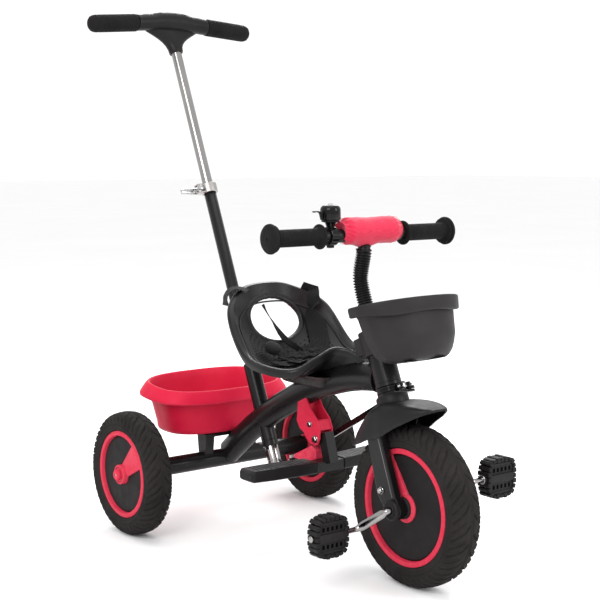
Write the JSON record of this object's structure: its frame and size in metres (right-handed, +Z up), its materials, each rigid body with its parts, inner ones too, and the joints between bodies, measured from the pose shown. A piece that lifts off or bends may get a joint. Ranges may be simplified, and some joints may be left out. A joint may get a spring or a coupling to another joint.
{
  "type": "children tricycle",
  "caption": "Child tricycle with a parent push bar that steers the fork by a link rod, bucket seat with harness, front basket, rear bucket and folding footrest.",
  "frame": {"origin": "on the ground, under the centre of the bounding box", "axes": "+X forward, +Y to the rider's left, +Z up"},
  "size_m": [0.8246, 0.47, 0.9243],
  "materials": {
    "black_paint": "gloss black powder coat",
    "black_plastic": "satin moulded black plastic",
    "foam_tyre": "matt moulded foam",
    "rubber_foam": "matt soft grip",
    "grey_plastic": "matt dark grey plastic",
    "red_plastic": "satin moulded red plastic",
    "red_fabric": "woven polyester over foam",
    "webbing": "woven webbing",
    "chrome": "bright plated steel",
    "zinc": "zinc plated"
  },
  "bodies": {
    "frame": {"main_tube": "black_paint", "head_tube": "black_paint", "push_bar_socket": "black_paint", "rear_axle_beam": "black_paint", "rear_axle_rod": "zinc", "rear_right_axle_cap": "red_plastic", "rear_left_axle_cap": "red_plastic", "seat_shell": "black_plastic", "harness_strap_left": "webbing", "harness_strap_right": "webbing", "harness_belt": "webbing", "harness_buckle": "black_plastic", "rear_bucket": "red_plastic", "bucket_bracket": "black_plastic", "footrest_bracket": "red_plastic", "footrest_pivot_bolt": "zinc"},
    "steer": {"front_fork": "black_paint", "steerer_tube": "zinc", "front_mudguard": "black_plastic", "lock_collar": "black_paint", "steering_arm": "black_paint", "hub_cap_right": "black_plastic", "hub_cap_left": "black_plastic", "handlebar": "black_paint", "stem_sleeve": "black_plastic", "handlebar_grip_right": "rubber_foam", "handlebar_grip_left": "rubber_foam", "bar_pad": "red_fabric", "bell_base": "black_plastic", "bell_dome": "black_paint", "front_basket": "black_plastic", "basket_bracket": "black_plastic"},
    "lock_screw": {"lock_screw": "zinc"},
    "bell_lever": {"bell_lever": "black_plastic"},
    "front_wheel": {"front_tyre": "foam_tyre", "front_wheel_core": "red_plastic", "front_wheel_disc": "grey_plastic", "crank_axle": "chrome"},
    "pedal_right": {"pedal_right": "black_plastic"},
    "pedal_left": {"pedal_left": "black_plastic"},
    "rear_right_wheel": {"rear_right_tyre": "foam_tyre", "rear_right_wheel_core": "red_plastic", "rear_right_wheel_disc": "grey_plastic"},
    "rear_left_wheel": {"rear_left_tyre": "foam_tyre", "rear_left_wheel_core": "red_plastic", "rear_left_wheel_disc": "grey_plastic"},
    "push_lower": {"push_tube_lower": "black_paint", "clutch_sleeve": "chrome", "link_arm": "chrome", "clamp_collar": "black_plastic"},
    "clamp_lever": {"clamp_lever": "zinc"},
    "push_upper": {"push_tube_upper": "chrome", "t_handle": "black_plastic", "push_grip_right": "rubber_foam", "push_grip_left": "rubber_foam"},
    "link_rod": {"link_rod": "black_paint"},
    "footrest": {"footrest_arm": "black_paint", "footrest_pad_left": "black_plastic", "footrest_pad_right": "black_plastic", "footrest_brace": "red_plastic"}
  },
  "joints": [
    {"name": "steer", "type": "hinge", "parent": "frame", "child": "steer", "pos_m": [0.224, 0, 0.308], "axis": [-0.3907, 0, 0.9205], "range_deg": [-35, 35]},
    {"name": "front_wheel_spin", "type": "hinge", "parent": "steer", "child": "front_wheel", "pos_m": [0.2873, 0, 0.125], "axis": [0, 1, 0], "continuous": true},
    {"name": "pedal_right_spin", "type": "hinge", "parent": "front_wheel", "child": "pedal_right", "pos_m": [0.24258, -0.133, 0.0913], "axis": [0, 1, 0], "continuous": true},
    {"name": "pedal_left_spin", "type": "hinge", "parent": "front_wheel", "child": "pedal_left", "pos_m": [0.33202, 0.133, 0.1587], "axis": [0, 1, 0], "continuous": true},
    {"name": "rear_right_wheel_spin", "type": "hinge", "parent": "frame", "child": "rear_right_wheel", "pos_m": [-0.21975, -0.2029, 0.1077], "axis": [0, 1, 0], "continuous": true},
    {"name": "rear_left_wheel_spin", "type": "hinge", "parent": "frame", "child": "rear_left_wheel", "pos_m": [-0.21975, 0.2029, 0.1077], "axis": [0, 1, 0], "continuous": true},
    {"name": "push_bar_turn", "type": "hinge", "parent": "frame", "child": "push_lower", "pos_m": [-0.105, 0, 0.2], "axis": [-0.3907, 0, 0.9205], "range_deg": [-35, 35]},
    {"name": "push_bar_slide", "type": "slide", "parent": "push_lower", "child": "push_upper", "axis": [-0.3907, 0, 0.9205], "range_m": [-0.15, 0]},
    {"name": "link_rod_turn", "type": "hinge", "parent": "push_lower", "child": "link_rod", "pos_m": [-0.07253, 0.04, 0.12351], "axis": [-0.3907, 0, 0.9205], "range_deg": [-35, 35]},
    {"name": "clamp_lever_turn", "type": "hinge", "parent": "push_lower", "child": "clamp_lever", "pos_m": [-0.27341, -0.0225, 0.59674], "axis": [0.9205, 0, 0.3907], "range_deg": [-80, 80]},
    {"name": "footrest_fold", "type": "hinge", "parent": "frame", "child": "footrest", "pos_m": [0.06, 0, 0.19], "axis": [0, -1, 0], "range_deg": [0, 60]},
    {"name": "lock_screw_turn", "type": "hinge", "parent": "steer", "child": "lock_screw", "pos_m": [0.22908, 0, 0.29603], "axis": [0.9205, 0, 0.3907], "continuous": true},
    {"name": "bell_lever_turn", "type": "hinge", "parent": "steer", "child": "bell_lever", "pos_m": [0.1607, -0.0825, 0.565], "axis": [0, 0, 1], "range_deg": [0, 18], "stiffness_Nm_per_rad": 0.02}
  ],
  "couplings": [
    {"joint": "push_bar_turn", "follows": "steer", "ratio": 1},
    {"joint": "link_rod_turn", "follows": "steer", "ratio": -1}
  ]
}
